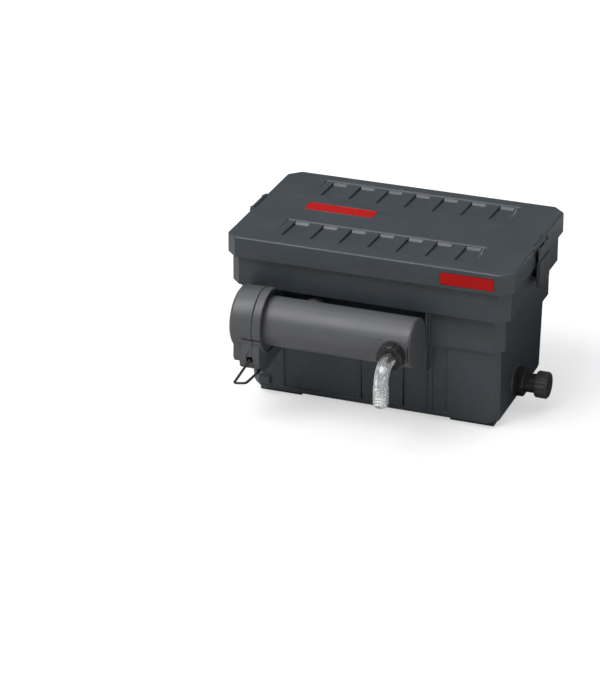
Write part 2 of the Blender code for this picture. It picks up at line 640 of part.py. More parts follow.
def make_head(finish, rubber, glass, white, dark, steel):
    """The head cover and the lamp assembly that comes out with it."""
    join_x = SEAM_X - GAP
    left = HEAD_LEFT_X
    profile = [(0, join_x), (HEAD_R - SEAM_CHAMFER, join_x), (HEAD_R, join_x - SEAM_CHAMFER),
               (HEAD_R - 0.0010, left + 0.0070), (HEAD_R - 0.0030, left + 0.0025),
               (HEAD_R - 0.0070, left), (0, left)]
    cover = turned("uv_head_cover", profile, tube_point(), "+X", finish, closed=False)
    chin = [(-0.2200, 0.1500), (-0.2260, 0.1440), (-0.2285, 0.1100), (-0.2240, 0.0930),
            (-0.2200, 0.0900), (-0.1700, 0.0860), (-0.1560, 0.1000), (-0.1560, 0.1500)]
    join(cover, outline_solid("head_chin", chin, join_x, -0.1830, "YZ"))
    upper = [(y, max(z, 0.1020)) for y, z in chin]
    join(cover, outline_solid("head_chin_side", upper, -0.1800, -0.1925, "YZ"))
    join(cover, box("head_block", (-0.1774, -0.2302, 0.0960), (join_x, -0.2150, 0.1435)))
    cut(cover, rod("head_hollow", 0.0445, left + 0.0040, join_x + 0.01, tube_point(), "+X"),
        box("bail_slot", (-0.1690, -0.2400, 0.1050), (join_x + 0.01, -0.2225, 0.1140)),
        box("head_ledge_groove", (-0.1760, -0.245, 0.1438), (join_x + 0.01, -0.2298, 0.1462)),
        rod("gland_hole", 0.0060, 0.010, 0.060, (-0.1800, -0.1480, TUBE_Z), "-Z", steps=12))

    plug = TUBE_BORE_R - GAP
    socket_left = SEAM_X - 0.0150
    profile = [(0.0430, socket_left + 0.0120), (0.0430, socket_left), (0.0118, socket_left),
               (0.0118, -0.1460), (plug, -0.1460), (plug, -0.1495), (0.0335, -0.1495),
               (0.0335, -0.1530), (plug, -0.1530), (plug, socket_left + 0.0120)]
    socket = turned("lamp_socket", profile, tube_point(), "+X", white)
    ring = [(0.0350 + 0.0014 * math.cos(-turn), -0.15125 + 0.0014 * math.sin(-turn))
            for turn in (step / 8 * math.tau for step in range(8))]
    o_ring = turned("head_o_ring", ring, tube_point(), "+X", rubber)

    sleeve_profile = [(0.0, 0.0600), (0.0080, 0.0580), (0.0115, 0.0520), (0.0115, -0.1535),
                      (0.0100, -0.1535), (0.0100, 0.0510), (0.0070, 0.0560), (0.0, 0.0575)]
    sleeve = turned("quartz_sleeve", sleeve_profile, tube_point(), "+X", glass, closed=False,
                    steps=FINE_SEGMENTS)
    nut = pipe("sleeve_nut", 0.0185, 0.0118, -0.1457, -0.1380, tube_point(), "+X", dark,
               steps=FINE_SEGMENTS)

    lamp = rod("uv_lamp", 0.0095, -0.1560, -0.1380, tube_point(), "+X", white, steps=16)
    for side in (-1, 1):
        leg = (0, TUBE_Y + side * 0.0045, TUBE_Z)
        join(lamp, rod(f"lamp_leg_{side}", 0.0036, -0.1400, 0.0420, leg, "+X", steps=10))
    join(lamp, box("lamp_bridge", (0.0360, TUBE_Y - 0.0045, TUBE_Z - 0.0020),
                   (0.0400, TUBE_Y + 0.0045, TUBE_Z + 0.0020)))
    ballast = box("ballast", (-0.1905, TUBE_Y - 0.0270, TUBE_Z - 0.0140),
                  (-0.1745, TUBE_Y + 0.0270, TUBE_Z + 0.0260), dark, 0.0015)
    gland_origin = (-0.1800, -0.1480, TUBE_Z)
    profile = [(0.0057, 0.0240), (0.0057, 0.0440), (0.0075, 0.0440), (0.0075, 0.0520),
               (0.0055, 0.0560), (0.0030, 0.0560), (0.0030, 0.0240)]
    gland = turned("cable_gland", list(reversed(profile)), gland_origin, "-Z", dark, steps=12)
    return [cover, socket, o_ring, sleeve, nut, lamp, ballast, gland]


def make_bail(steel):
    """The bent wire clip under the head, hooked into block and bracket."""
    pivot_x, pivot_z = BAIL_PIVOT
    hook = (-0.1512, 0.0888)
    route = [(pivot_x, BAIL_Y + 0.0085, pivot_z), (pivot_x, BAIL_Y + 0.0020, pivot_z),
             (pivot_x - 0.0012, BAIL_Y, pivot_z - 0.0020),
             (-0.1868, BAIL_Y, 0.0708), (-0.1886, BAIL_Y, 0.0682), (-0.1880, BAIL_Y, 0.0668),
             (-0.1862, BAIL_Y, 0.0665), (-0.1730, BAIL_Y, 0.0685), (-0.1690, BAIL_Y, 0.0698),
             (-0.1655, BAIL_Y, 0.0730),
             (hook[0] - 0.0012, BAIL_Y, hook[1] - 0.0012), (hook[0], BAIL_Y + 0.0015, hook[1]),
             (hook[0], BAIL_Y + 0.0115, hook[1])]
    curve = bpy.data.curves.new("head_bail", "CURVE")
    curve.dimensions = "3D"
    curve.bevel_depth = BAIL_R
    curve.bevel_resolution = 3
    curve.use_fill_caps = True
    spline = curve.splines.new("POLY")
    spline.points.add(len(route) - 1)
    for point, place_at in zip(spline.points, route):
        point.co = (*place_at, 1.0)
    bail = bpy.data.objects.new("head_bail", curve)
    collections["pond_filter_box"].objects.link(bail)
    curve.materials.append(steel)
    return bail


def make_branch_fittings(clear, dark, rubber):
    """Union nut, clear elbow with its barbed tail, and the seal between them."""
    branch = (BRANCH_X, TUBE_Y, BRANCH_Z)
    nut_start, nut_end, ribs = 0.0455, 0.0640, 14
    segments = ribs * 4
    rings = [ribbed_circle(NUT_R, nut_end - 0.0012, ribs, 0.0011),
             ribbed_circle(NUT_R, nut_start, ribs, 0.0011),
             circle(SPIGOT_R + GAP, nut_start, segments),
             circle(SPIGOT_R + GAP, 0.0613, segments),
             circle(HOSE_TAIL_R + 0.0006, 0.0613, segments),
             circle(HOSE_TAIL_R + 0.0006, nut_end, segments),
             circle(NUT_R - 0.0022, nut_end, segments)]
    nut = place(loft("union_nut", rings, dark, hollow=True), branch, "-Y")

    bend_r, leg_y, leg_bottom = 0.0270, -0.2820, 0.0930
    bend_z = BRANCH_Z - bend_r
    centres = [(BRANCH_X, TUBE_Y - 0.0584, BRANCH_Z), (BRANCH_X, TUBE_Y - 0.0610, BRANCH_Z),
               (BRANCH_X, TUBE_Y - 0.06101, BRANCH_Z)]
    radii = [SPIGOT_R - 0.0004, SPIGOT_R - 0.0004, HOSE_TAIL_R]
    for step in range(7):
        angle = step / 6 * math.pi / 2
        centres.append((BRANCH_X, leg_y + bend_r - bend_r * math.sin(angle),
                        bend_z + bend_r * math.cos(angle)))
        radii.append(HOSE_TAIL_R)
    barb, barbs = 0.0052, 6
    first = leg_bottom + 0.0030 + barb * barbs
    for index in range(barbs):
        top = first - index * barb
        for drop, radius in ((0.0, HOSE_TAIL_R - 0.0008), (0.0022, HOSE_TAIL_R + 0.0011),
                             (0.0032, HOSE_TAIL_R + 0.0011)):
            centres.append((BRANCH_X, leg_y, top - drop))
            radii.append(radius)
    centres += [(BRANCH_X, leg_y, leg_bottom + 0.0026), (BRANCH_X, leg_y, leg_bottom)]
    radii += [HOSE_TAIL_R - 0.0008, HOSE_TAIL_R - 0.0010]
    elbow = sweep("inlet_elbow", centres, radii, clear, segments=16)

    bore = [(BRANCH_X, TUBE_Y - 0.050, BRANCH_Z)]
    for step in range(7):
        angle = step / 6 * math.pi / 2
        bore.append((BRANCH_X, leg_y + bend_r - bend_r * math.sin(angle),
                     bend_z + bend_r * math.cos(angle)))
    bore.append((BRANCH_X, leg_y, leg_bottom - 0.010))
    cut(elbow, sweep("elbow_bore", bore, [HOSE_TAIL_R - 0.0024] * len(bore), segments=14))
    o_ring = pipe("elbow_o_ring", 0.0158, 0.0126, 0.0561, 0.0581, branch, "-Y", rubber,
                  steps=FINE_SEGMENTS)
    return nut, elbow, o_ring


def make_outlet(dark, rubber):
    """The nipple from the clarifier through the tub's wall, its seal and its inner nut."""
    origin = outlet_point()
    nipple = pipe("uv_outlet_nipple", 0.0135, 0.0105, 0.0330, 0.0760, origin, "+Y", dark,
                  steps=FINE_SEGMENTS)
    seal = pipe("uv_outlet_seal", 0.0210, 0.0138, 0.0519, 0.0561, origin, "+Y", rubber,
                steps=FINE_SEGMENTS)
    rings = [hexagon_ring(0.0360, 0.0690, 36), hexagon_ring(0.0360, 0.0630, 36),
             circle(0.0138, 0.0630, 36), circle(0.0138, 0.0690, 36)]
    nut = place(loft("uv_outlet_nut", rings, dark, hollow=True), origin, "+Y")
    return nipple, seal, nut


# ---- drain and overflow -------------------------------------------------------------------
def make_drain(dark, rubber):
    """The drain's hexagon nipple, gasket, inner nut, screw cap and the cap's seal."""
    origin = (0, DRAIN_Y, DRAIN_Z)
    gasket = pipe("drain_gasket", 0.0235, 0.0165, DRAIN_FACE_X + GAP, DRAIN_HEX_X - GAP, origin,
                  "+X", rubber)
    bore, thread, count = 0.0120, 0.0160, 36
    hex_end, inner_end, outer_end = DRAIN_HEX_X + 0.0120, 0.1910, 0.2590
    rings = [circle(bore, outer_end, count), circle(thread - 0.0005, outer_end, count),
             circle(thread - 0.0005, hex_end, count), hexagon_ring(0.0410, hex_end, count),
             hexagon_ring(0.0430, hex_end - 0.0015, count),
             hexagon_ring(0.0430, DRAIN_HEX_X, count), circle(thread, DRAIN_HEX_X, count),
             circle(thread, inner_end, count), circle(bore, inner_end, count)]
    nipple = place(loft("drain_nipple", rings, dark, hollow=True), origin, "+X")
    rings = [hexagon_ring(0.0440, 0.2015, 36), hexagon_ring(0.0440, 0.1945, 36),
             circle(thread + GAP, 0.1945, 36), circle(thread + GAP, 0.2015, 36)]
    lock_nut = place(loft("drain_lock_nut", rings, dark, hollow=True), origin, "+X")

    ribs = 14
    count = ribs * 4
    end = DRAIN_CAP_END_X
    rings = [ribbed_circle(0.0218, end - 0.0020, ribs, 0.0010),
             ribbed_circle(0.0218, DRAIN_CAP_X + 0.0015, ribs, 0.0010),
             circle(0.0203, DRAIN_CAP_X, count), circle(thread, DRAIN_CAP_X, count),
             circle(thread, 0.2622, count)]
    rings = [circle(0.0010, end - 0.0004, count), circle(0.0120, end - 0.0004, count),
             circle(0.0130, end, count), circle(0.0194, end, count)] + rings
    rings += [circle(0.0010, 0.2622, count)]
    cap = place(loft("drain_cap", rings, dark), origin, "+X")
    seal = pipe("drain_cap_seal", 0.0150, 0.0121, 0.2594, 0.2617, origin, "+X", rubber,
                steps=FINE_SEGMENTS)
    return gasket, nipple, lock_nut, cap, seal


def make_overflow(dark, rubber):
    """The gravity outlet at the back: flanged spigot, gasket and inner nut."""
    origin = (OVERFLOW_X, 0, OVERFLOW_Z)
    gasket = pipe("outlet_gasket", 0.0335, 0.0254, 0.1353, 0.1375, origin, "+Y", rubber)
    profile = [(0.0220, 0.1850), (0.0250, 0.1850), (0.0250, 0.1425), (0.0335, 0.1425),
               (0.0335, 0.1378), (0.0250, 0.1378), (0.0250, 0.1080), (0.0220, 0.1080)]
    spigot = turned("outlet_spigot", profile, origin, "+Y", dark)
    rings = [hexagon_ring(0.0640, 0.1195, 48), hexagon_ring(0.0640, 0.1120, 48),
             circle(0.0253, 0.1120, 48), circle(0.0253, 0.1195, 48)]
    nut = place(loft("outlet_lock_nut", rings, dark, hollow=True), origin, "+Y")
    return gasket, spigot, nut


def main():
    start_scene()
    charcoal = material("charcoal_plastic", CHARCOAL, 0.45)
    dark = material("dark_plastic", DARK, 0.45)
    tube_grey = material("tube_plastic", TUBE_GREY, 0.42)
    black = material("black_plastic", BLACK, 0.40)
    rubber = material("rubber", (0.02, 0.02, 0.02), 0.8)
    red = material("red_mark", RED, 0.4)
    clear = material("clear_plastic", (0.85, 0.88, 0.9), 0.08, transmission=1.0)
    glass = material("quartz", (0.95, 0.97, 1.0), 0.02, transmission=1.0)
    steel = material("steel", (0.45, 0.46, 0.47), 0.3, metallic=1.0)
    white = material("lamp_white", (0.8, 0.8, 0.78), 0.4)
    net = material("net", (0.10, 0.11, 0.12), 0.9)

    make_container(charcoal)
    make_inside(black, ((0.02, 0.05, 0.09), (0.03, 0.10, 0.05), (0.05, 0.05, 0.05)), net)
    make_housing(tube_grey, tube_grey)
    make_collar(dark)
    make_bracket_screws(steel)
    make_outlet(black, rubber)

    lid_pieces = [make_lid(charcoal), *make_lid_details(red, rubber)]
    latches = {}
    for side in (-1, 1):
        latches[side], pin = make_latch(side, dark, steel)
        lid_pieces.append(pin)
    lid_pivot = pivot("lid_lift", (0, 0, SKIRT_BOTTOM), *lid_pieces)
    for side, latch in latches.items():
        hinge = pivot(f"latch_hinge_{side}", (side * LATCH_PIVOT[0], LATCH_Y, LATCH_PIVOT[1]),
                      latch)
        hinge.parent = lid_pivot
        hinge.matrix_parent_inverse = Matrix.Translation((0, 0, -SKIRT_BOTTOM))

    head_pieces = make_head(dark, rubber, glass, white, black, steel)
    head_pivot = pivot("head_pull", tube_point(SEAM_X), *head_pieces)
    bail_pivot = pivot("bail_hinge", (BAIL_PIVOT[0], BAIL_Y, BAIL_PIVOT[1]), make_bail(steel))
    bail_pivot.parent = head_pivot
    bail_pivot.matrix_parent_inverse = Matrix.Translation(-Vector(tube_point(SEAM_X)))

    nut, elbow, elbow_ring = make_branch_fittings(clear, black, rubber)
    pivot("union_nut_turn", (BRANCH_X, TUBE_Y, BRANCH_Z), nut)
    pivot("elbow_swivel", (BRANCH_X, TUBE_Y, BRANCH_Z), elbow, elbow_ring)

    gasket, nipple, lock_nut, cap, seal = make_drain(black, rubber)
    pivot("drain_cap_turn", (DRAIN_CAP_X, DRAIN_Y, DRAIN_Z), cap, seal)
    make_overflow(black, rubber)


main()
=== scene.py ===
"""Looks of the pond filter box: materials, edges, soft filter media, light and camera."""
import math

import bmesh
import bpy
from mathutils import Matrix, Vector, noise


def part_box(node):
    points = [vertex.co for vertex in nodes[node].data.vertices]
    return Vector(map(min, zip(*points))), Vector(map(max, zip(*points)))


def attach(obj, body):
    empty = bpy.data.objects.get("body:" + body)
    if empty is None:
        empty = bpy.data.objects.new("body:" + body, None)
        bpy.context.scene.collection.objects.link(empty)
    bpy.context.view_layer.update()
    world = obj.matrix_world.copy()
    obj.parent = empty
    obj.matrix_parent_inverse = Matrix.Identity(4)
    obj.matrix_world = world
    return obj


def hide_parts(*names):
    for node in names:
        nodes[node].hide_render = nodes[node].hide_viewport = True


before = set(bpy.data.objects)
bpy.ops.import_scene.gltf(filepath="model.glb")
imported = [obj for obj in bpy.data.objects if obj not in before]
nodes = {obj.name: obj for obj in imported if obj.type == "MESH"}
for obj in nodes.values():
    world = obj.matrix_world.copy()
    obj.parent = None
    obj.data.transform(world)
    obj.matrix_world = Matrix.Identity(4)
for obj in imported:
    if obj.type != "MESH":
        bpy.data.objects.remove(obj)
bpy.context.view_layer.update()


# ---- values: camera and studio ------------------------------------------------------------
CAMERA_TARGET = Vector((-0.1661, 0.0, 0.0259))
CAMERA_DISTANCE = 5.0636
CAMERA_AZIMUTH = math.radians(20.7073)
CAMERA_ELEVATION = math.radians(24.9614)
CAMERA_LENS = 157.92

WORLD_LIGHT = 0.14
LIGHTS = (      # name, direction towards it, its spread in degrees, its strength
    ("top", (-0.16, 0.06, 0.98), 80.0, 1.75),
    ("key", (-0.36, -0.46, 0.81), 40.0, 2.15),
    ("side", (0.88, -0.42, -0.02), 24.0, 0.9),
)

FLOOR_REACH = 30.0
FLOOR_DROP = 0.0002     # keeps the floor just below the feet
FLOOR_WHITE = 0.46      # how bright it is lit, and how much it glows, as the camera sees it
FLOOR_GLOW = 0.56
DARK_PATCH = (0.30, 0.35, 0.0)      # the sweep gives the box little light back from here
NEAR_BOUNCE, FAR_BOUNCE = 0.05, 0.60
NEAR, FAR = 0.30, 0.50

# ---- values: surfaces and edges -----------------------------------------------------------
WELD_DISTANCE = 0.00002
EDGE_ANGLE = math.radians(28)       # edges sharper than this are rounded
EDGE_SEGMENTS = 2
NORMAL_WEIGHT = 60
PLASTIC_IOR = 1.49
HIGHLIGHT_FROM, HIGHLIGHT_TO = 0.162, 0.154     # heights between which the clear elbow's painted highlights fade in, going down

# ---- values: filter media -----------------------------------------------------------------
FOAM_CUTS, FOAM_EDGE = 22, 0.004        # grid cuts along each side, and the edges' radius
FOAM_INSET = (0.0012, 0.0012, 0.0006)   # leaves room for the ragged skin
BAG_CUTS, BAG_EDGE = 26, 0.014
BAG_NECK, BAG_NECK_FROM = 0.30, 0.55    # how far it draws in, and from what share of its length
BAG_SLACK = 0.97
BAG_SAG = 0.016
BAG_LUMP, BAG_LUMPS_PER_METRE = 0.0016, 85.0
BAG_INSET = 0.0012


# ---- camera and studio --------------------------------------------------------------------
def make_camera():
    """A long lens looking at the front from a little to the right and above."""
    back = Vector((math.sin(CAMERA_AZIMUTH) * math.cos(CAMERA_ELEVATION),
                   -math.cos(CAMERA_AZIMUTH) * math.cos(CAMERA_ELEVATION),
                   math.sin(CAMERA_ELEVATION)))
    data = bpy.data.cameras.new("camera")
    data.lens = CAMERA_LENS
    data.sensor_width = 36.0
    data.clip_end = 50.0
    camera = bpy.data.objects.new("camera", data)
    camera.location = CAMERA_TARGET + back * CAMERA_DISTANCE
    camera.rotation_euler = (-back).to_track_quat("-Z", "Y").to_euler()
    bpy.context.scene.collection.objects.link(camera)
    bpy.context.scene.camera = camera


def broad_light(name, towards, spread, strength):
    """Even light from a wide patch of sky, as from a large softbox far off."""
    data = bpy.data.lights.new(name, "SUN")
    data.energy = strength
    data.angle = math.radians(spread)
    light = bpy.data.objects.new(name, data)
    light.rotation_euler = Vector(towards).to_track_quat("Z", "Y").to_euler()
    bpy.context.scene.collection.objects.link(light)


def make_studio():
    """White sweep, dim even world, soft lights from above and the front left, one low right."""
    scene = bpy.context.scene
    scene.view_settings.view_transform = "Standard"
    world = bpy.data.worlds.new("studio")
    world.use_nodes = True
    background = world.node_tree.nodes["Background"]
    background.inputs["Color"].default_value = (0.96, 0.98, 1.0, 1.0)
    background.inputs["Strength"].default_value = WORLD_LIGHT
    scene.world = world
    for name, towards, spread, strength in LIGHTS:
        broad_light(name, towards, spread, strength)

    shape = bmesh.new()
    bmesh.ops.create_grid(shape, x_segments=1, y_segments=1, size=FLOOR_REACH)
    mesh = bpy.data.meshes.new("floor")
    shape.to_mesh(mesh)
    shape.free()
    floor = bpy.data.objects.new("floor", mesh)
    floor.location.z = -FLOOR_DROP
    scene.collection.objects.link(floor)
    mesh.materials.append(sweep_paint())


def sweep_paint():
    """White to the camera; to the box it is dark near and behind it, and bright further out."""
    paint = bpy.data.materials.new("floor")
    paint.use_nodes = True
    tree = paint.node_tree
    shader = tree.nodes["Principled BSDF"]
    shader.inputs["Roughness"].default_value = 1.0
    shader.inputs["Specular IOR Level"].default_value = 0.0
    shader.inputs["Emission Color"].default_value = (1.0, 1.0, 1.0, 1.0)
    seen = tree.nodes.new("ShaderNodeLightPath").outputs["Is Camera Ray"]
    distance = tree.nodes.new("ShaderNodeVectorMath")
    distance.operation = "DISTANCE"
    distance.inputs[1].default_value = DARK_PATCH
    tree.links.new(tree.nodes.new("ShaderNodeTexCoord").outputs["Object"], distance.inputs[0])
    bounce = tree.nodes.new("ShaderNodeMapRange")
    for socket, number in (("From Min", NEAR), ("From Max", FAR), ("To Min", NEAR_BOUNCE),
                           ("To Max", FAR_BOUNCE)):
        bounce.inputs[socket].default_value = number
    tree.links.new(distance.outputs["Value"], bounce.inputs["Value"])
    for socket, shown in (("Base Color", FLOOR_WHITE), ("Emission Strength", FLOOR_GLOW)):
        share = tree.nodes.new("ShaderNodeMix")
        share.inputs["B"].default_value = shown
        if socket == "Base Color":
            tree.links.new(bounce.outputs["Result"], share.inputs["A"])
        tree.links.new(seen, share.inputs["Factor"])
        tree.links.new(share.outputs["Result"], shader.inputs[socket])
    return paint


# ---- materials ----------------------------------------------------------------------------
class Surface:
    """A Principled material with helpers that wire up its procedural nodes."""

    def __init__(self, name, roughness, metallic=0.0):
        self.material = bpy.data.materials.new(name)
        self.material.use_nodes = True
        self.tree = self.material.node_tree
        self.shader = self.tree.nodes["Principled BSDF"]
        self.shader.inputs["Metallic"].default_value = metallic
        self.shader.inputs["Roughness"].default_value = roughness
        self.where = self.tree.nodes.new("ShaderNodeTexCoord").outputs["Object"]

    def link(self, source, target):
        self.tree.links.new(source, target)
        return source

    def noise(self, scale, detail=2.0, stretch=None, roughness=0.5):
        """Noise at a scale in cells per metre, drawn out along an axis where stretch says."""
        node = self.tree.nodes.new("ShaderNodeTexNoise")
        node.inputs["Scale"].default_value = scale
        node.inputs["Detail"].default_value = detail
        node.inputs["Roughness"].default_value = roughness
        place = self.where
        if stretch:
            mapping = self.tree.nodes.new("ShaderNodeMapping")
            mapping.inputs["Scale"].default_value = stretch
            self.link(self.where, mapping.inputs["Vector"])
            place = mapping.outputs["Vector"]
        self.link(place, node.inputs["Vector"])
        return node.outputs["Fac"]

    def cells(self, scale):
        """Distance to the nearest of scattered points, for cells and pores."""
        node = self.tree.nodes.new("ShaderNodeTexVoronoi")
        node.inputs["Scale"].default_value = scale
        self.link(self.where, node.inputs["Vector"])
        return node.outputs["Distance"]

    def spread(self, value, low, high, to_low, to_high):
        """Map a value from one range to another, clamped."""
        node = self.tree.nodes.new("ShaderNodeMapRange")
        numbers = (low, high, to_low, to_high)
        for socket, number in zip(("From Min", "From Max", "To Min", "To Max"), numbers):
            node.inputs[socket].default_value = number
        self.link(value, node.inputs["Value"])
        return node.outputs["Result"]

    def math(self, operation, first, second):
        """One arithmetic step on two values, each a socket or a number."""
        node = self.tree.nodes.new("ShaderNodeMath")
        node.operation = operation
        for socket, value in zip(node.inputs, (first, second)):
            if isinstance(value, (int, float)):
                socket.default_value = value
            else:
                self.link(value, socket)
        return node.outputs["Value"]

    def mix(self, share, first, second):
        """Blend two colours, each a socket or three numbers."""
        node = self.tree.nodes.new("ShaderNodeMix")
        node.data_type = "RGBA"
        self.link(share, node.inputs["Factor"])
        for socket, colour in ((node.inputs[6], first), (node.inputs[7], second)):
            if isinstance(colour, tuple):
                socket.default_value = (*colour, 1.0)
            else:
                self.link(colour, socket)
        return node.outputs[2]

    def colour(self, value):
        self.link(value, self.shader.inputs["Base Color"])

    def roughness(self, value):
        self.link(value, self.shader.inputs["Roughness"])

    def bump(self, height, depth, strength=1.0):
        """Relief of a depth in metres where height goes from 0 to 1."""
        node = self.tree.nodes.new("ShaderNodeBump")
        node.inputs["Distance"].default_value = depth
        node.inputs["Strength"].default_value = strength
        self.link(height, node.inputs["Height"])
        self.link(node.outputs["Normal"], self.shader.inputs["Normal"])


def shade(colour, factor):
    return tuple(channel * factor for channel in colour)


def moulded(name, colour, roughness, grain=900.0, depth=0.00006, dust=0.10, specular=0.5):
    """Injection-moulded plastic: spark-eroded grain, cloudy flow, rubbed and dusty patches."""
    surface = Surface(name, roughness)
    surface.shader.inputs["Specular IOR Level"].default_value = specular
    flow = surface.noise(7.0, 4.0)
    rubbed = surface.spread(surface.noise(38.0, 6.0, roughness=0.65), 0.52, 0.72, 0.0, 1.0)
    body = surface.mix(surface.spread(flow, 0.3, 0.7, 0.0, 1.0), shade(colour, 0.93),
                       shade(colour, 1.07))
    pale = tuple(channel + (0.30 - channel) * dust for channel in colour)
    speck = surface.spread(surface.noise(grain, 2.0), 0.35, 0.65, 0.94, 1.06)
    speckled = surface.tree.nodes.new("ShaderNodeVectorMath")
    speckled.operation = "SCALE"
    surface.link(surface.mix(surface.math("MULTIPLY", rubbed, 0.35), body, pale),
                 speckled.inputs[0])
    surface.link(speck, speckled.inputs["Scale"])
    surface.colour(speckled.outputs["Vector"])
    polish = surface.spread(surface.noise(16.0, 5.0), 0.3, 0.7, roughness - 0.05, roughness + 0.06)
    scratches = surface.spread(surface.noise(60.0, 3.0, (1.0, 14.0, 1.0)), 0.62, 0.70, 0.0, 0.06)
    surface.roughness(surface.math("ADD", polish, scratches))
    fine = surface.noise(grain, 3.0, roughness=0.7)
    broad = surface.noise(grain / 14.0, 2.0)
    surface.bump(surface.math("ADD", fine, surface.math("MULTIPLY", broad, 0.8)), depth, 0.6)
    return surface.material


def rubber(name):
    """Black rubber with bloom in patches."""
    surface = Surface(name, 0.7)
    bloom = surface.spread(surface.noise(140.0, 4.0), 0.45, 0.75, 0.0, 1.0)
    surface.colour(surface.mix(bloom, (0.012, 0.012, 0.012), (0.045, 0.044, 0.042)))
    surface.roughness(surface.spread(bloom, 0.0, 1.0, 0.62, 0.85))
    surface.bump(surface.noise(1600.0, 3.0), 0.00005, 0.5)
    return surface.material


def steel(name, colour):
    """Drawn wire or rod with fine streaks and a few dull spots."""
    surface = Surface(name, 0.3, 1.0)
    streaks = surface.noise(900.0, 3.0, (0.15, 1.0, 1.0))
    spots = surface.spread(surface.noise(240.0, 3.0), 0.6, 0.8, 0.0, 1.0)
    surface.colour(surface.mix(spots, colour, shade(colour, 0.62)))
    surface.roughness(surface.spread(streaks, 0.3, 0.7, 0.24, 0.42))
    surface.bump(streaks, 0.00002, 0.4)
    return surface.material


def clear(name, tint, roughness, waviness, highlight_transmission=0.95, highlight_heights=None):
    """Moulded clear plastic or quartz: waves, finger haze, and painted highlights: rims seen
    edge-on and noise streaks turned whiter and less clear.

    Given two heights in the part's own Z, the painted highlights fade in from the first down to
    the second.
    """
    surface = Surface(name, roughness)
    surface.shader.inputs["IOR"].default_value = PLASTIC_IOR
    # painted highlight: where the surface is seen edge-on, and along noise streaks, it is made
    # whiter and less clear, standing in for light caught in the walls
    facing = surface.tree.nodes.new("ShaderNodeLayerWeight")
    facing.inputs["Blend"].default_value = 0.4
    edge = surface.spread(facing.outputs["Facing"], 0.35, 0.80, 0.0, 1.0)
    streaks = surface.spread(surface.noise(120.0, 3.0, (1.0, 1.0, 0.35)), 0.52, 0.62, 0.12, 0.65)
    painted_highlight = surface.math("MAXIMUM", edge, streaks)
    # the painted highlights fade out above the given heights, so the top stays clear
    if highlight_heights:
        split = surface.tree.nodes.new("ShaderNodeSeparateXYZ")
        surface.link(surface.where, split.inputs[0])
        painted_highlight = surface.math("MULTIPLY", painted_highlight,
                           surface.spread(split.outputs["Z"], *highlight_heights, 0.0, 1.0))
    surface.link(surface.spread(painted_highlight, 0.0, 1.0, 0.96, highlight_transmission),
                 surface.shader.inputs["Transmission Weight"])
    haze = surface.spread(surface.noise(90.0, 4.0), 0.45, 0.7, 0.0, 1.0)
    surface.colour(surface.mix(haze, tint, shade(tint, 0.94)))
    surface.roughness(surface.spread(haze, 0.0, 1.0, roughness, roughness + 0.06))
    surface.bump(surface.noise(220.0, 2.0), waviness, 0.5)
    return surface.material


def printed_red(name):
    """Red pad-printed insert with thin ink grain and slightly worn ink."""
    surface = Surface(name, 0.45)
    surface.shader.inputs["Specular IOR Level"].default_value = 0.1
    worn = surface.spread(surface.noise(320.0, 5.0, roughness=0.7), 0.62, 0.74, 0.0, 0.35)
    ink = surface.mix(surface.noise(30.0, 3.0), (0.36, 0.0050, 0.0050), (0.42, 0.008, 0.008))
    surface.colour(surface.mix(worn, ink, (0.16, 0.012, 0.012)))
    surface.roughness(surface.spread(surface.noise(500.0, 3.0), 0.3, 0.7, 0.42, 0.56))
    surface.bump(surface.noise(1500.0, 2.0), 0.00003, 0.4)
    return surface.material


def foam(name, colour, pores):
    """Open-cell filter foam: round pores painted dark as shade between the struts."""
    surface = Surface(name, 0.95)
    surface.shader.inputs["Specular IOR Level"].default_value = 0.2
    cell = surface.cells(pores)
    small = surface.cells(pores * 2.3)
    pore_shade_and_depth = surface.spread(surface.math("MINIMUM", cell, small), 0.08, 0.42, 0.0, 1.0)
    stain = surface.spread(surface.noise(14.0, 4.0), 0.4, 0.75, 0.0, 0.5)
    strut = surface.mix(stain, colour, (0.060, 0.050, 0.030))
    # painted shade: the pores are coloured near black, for the shade inside the holes
    surface.colour(surface.mix(pore_shade_and_depth, shade(colour, 0.12), strut))
    surface.bump(pore_shade_and_depth, 0.0009, 1.0)
    return surface.material


def netting(name):
    """Knitted nylon net: diagonal threads over dark gaps that show the media behind, painted dark
    between its lumps as shade.
    """
    surface = Surface(name, 0.8)
    threads = []
    for turn in (math.radians(45), math.radians(-45)):
        mapping = surface.tree.nodes.new("ShaderNodeMapping")
        mapping.inputs["Rotation"].default_value = (turn, turn, turn)
        surface.link(surface.where, mapping.inputs["Vector"])
        wave = surface.tree.nodes.new("ShaderNodeTexWave")
        wave.wave_profile = "SIN"
        wave.inputs["Scale"].default_value = 110.0
        wave.inputs["Distortion"].default_value = 0.6
        surface.link(mapping.outputs["Vector"], wave.inputs["Vector"])
        threads.append(surface.spread(wave.outputs["Fac"], 0.55, 0.85, 0.0, 1.0))
    mesh_share = surface.math("MAXIMUM", *threads)
    lump_shade_and_depth = surface.cells(95.0)
    # painted shade: the media is lighter at the middle of each lump and dark between lumps
    media = surface.mix(surface.spread(lump_shade_and_depth, 0.1, 0.6, 0.0, 1.0), (0.36, 0.30, 0.24),
                        (0.10, 0.085, 0.070))
    surface.colour(surface.mix(mesh_share, media, (0.55, 0.57, 0.58)))
    surface.bump(surface.math("ADD", mesh_share, surface.math("MULTIPLY", lump_shade_and_depth, -1.5)), 0.0006)
    return surface.material


